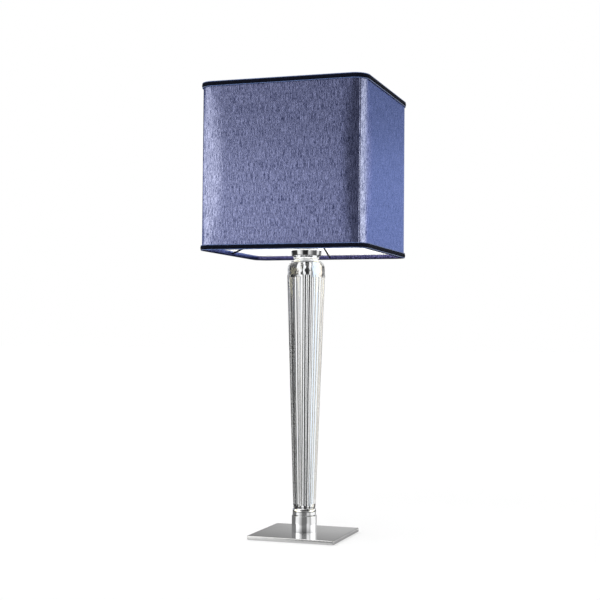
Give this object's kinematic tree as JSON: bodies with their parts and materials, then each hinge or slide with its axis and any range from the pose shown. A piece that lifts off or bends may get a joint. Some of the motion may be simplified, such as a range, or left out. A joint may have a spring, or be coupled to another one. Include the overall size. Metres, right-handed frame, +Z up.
{
  "type": "table lamp",
  "caption": "Table lamp with a square polished foot, a fluted clear glass column and a square fabric shade with rounded corners, for one screw-cap bulb.",
  "frame": {"origin": "centre of the square foot, on the surface that the lamp stands on", "axes": "+Z up along the column, -Y towards the front, +Y towards the cable outlet at the back of the collar"},
  "size_m": [0.2852, 0.2852, 0.75],
  "materials": {
    "polished_steel": "mirror polished",
    "chrome": "polished",
    "zinc_steel": "zinc plated",
    "felt": "felt",
    "black_plastic": "moulded",
    "white_plastic": "moulded",
    "lead_sheath": "silicone sheath",
    "seal": "clear silicone",
    "crystal": "polished clear crystal",
    "core_ceramic": "glazed",
    "brass": "plain",
    "bulb_base": "black insulator",
    "bulb_cap": "rolled",
    "bulb_glass": "frosted",
    "frame_wire": "grey lacquer",
    "lining": "white film",
    "satin": "blue satin with an upright slub",
    "velvet": "dark navy velvet"
  },
  "bodies": {
    "lamp": {"base_plate": "polished_steel", "base_feet": "felt", "base_washer": "zinc_steel", "base_nut": "zinc_steel", "base_collar": "chrome", "cable_bush": "black_plastic", "terminal_block": "white_plastic", "inner_leads": "lead_sheath", "centre_tube": "zinc_steel", "tube_sleeve": "chrome", "lower_ring": "chrome", "lower_gasket": "seal", "glass_column": "crystal", "upper_gasket": "seal", "rim_disc": "chrome", "neck": "chrome", "socket_cup": "chrome", "cup_nut": "zinc_steel", "holder_cap": "white_plastic", "holder_cap_screw": "zinc_steel", "holder_body": "white_plastic", "holder_core": "core_ceramic", "thread_shell": "brass", "centre_contact": "brass"},
    "lower_nut": {"lower_shade_nut": "white_plastic"},
    "upper_nut": {"upper_shade_nut": "white_plastic"},
    "bulb": {"bulb_base": "bulb_base", "bulb_cap": "bulb_cap", "bulb_glass": "bulb_glass"},
    "shade": {"spider_ring": "frame_wire", "spider_arms": "frame_wire", "frame_bottom": "frame_wire", "frame_top": "frame_wire", "lining": "lining", "fabric_front": "satin", "fabric_right": "satin", "fabric_back": "satin", "fabric_left": "satin", "hem_bottom": "satin", "hem_top": "satin", "trim_bottom": "velvet", "trim_top": "velvet"}
  },
  "joints": [
    {"name": "shade_turn", "type": "hinge", "parent": "lamp", "child": "shade", "pos_m": [0, 0, 0.5236], "axis": [0, 0, 1], "continuous": true},
    {"name": "upper_nut_turn", "type": "hinge", "parent": "lamp", "child": "upper_nut", "pos_m": [0, 0, 0.5277], "axis": [0, 0, 1], "range_deg": [0, 1440]},
    {"name": "lower_nut_turn", "type": "hinge", "parent": "lamp", "child": "lower_nut", "pos_m": [0, 0, 0.5195], "axis": [0, 0, 1], "range_deg": [-1440, 0]},
    {"name": "bulb_turn", "type": "hinge", "parent": "lamp", "child": "bulb", "pos_m": [0, 0, 0.525], "axis": [0, 0, 1], "range_deg": [0, 1260]}
  ]
}
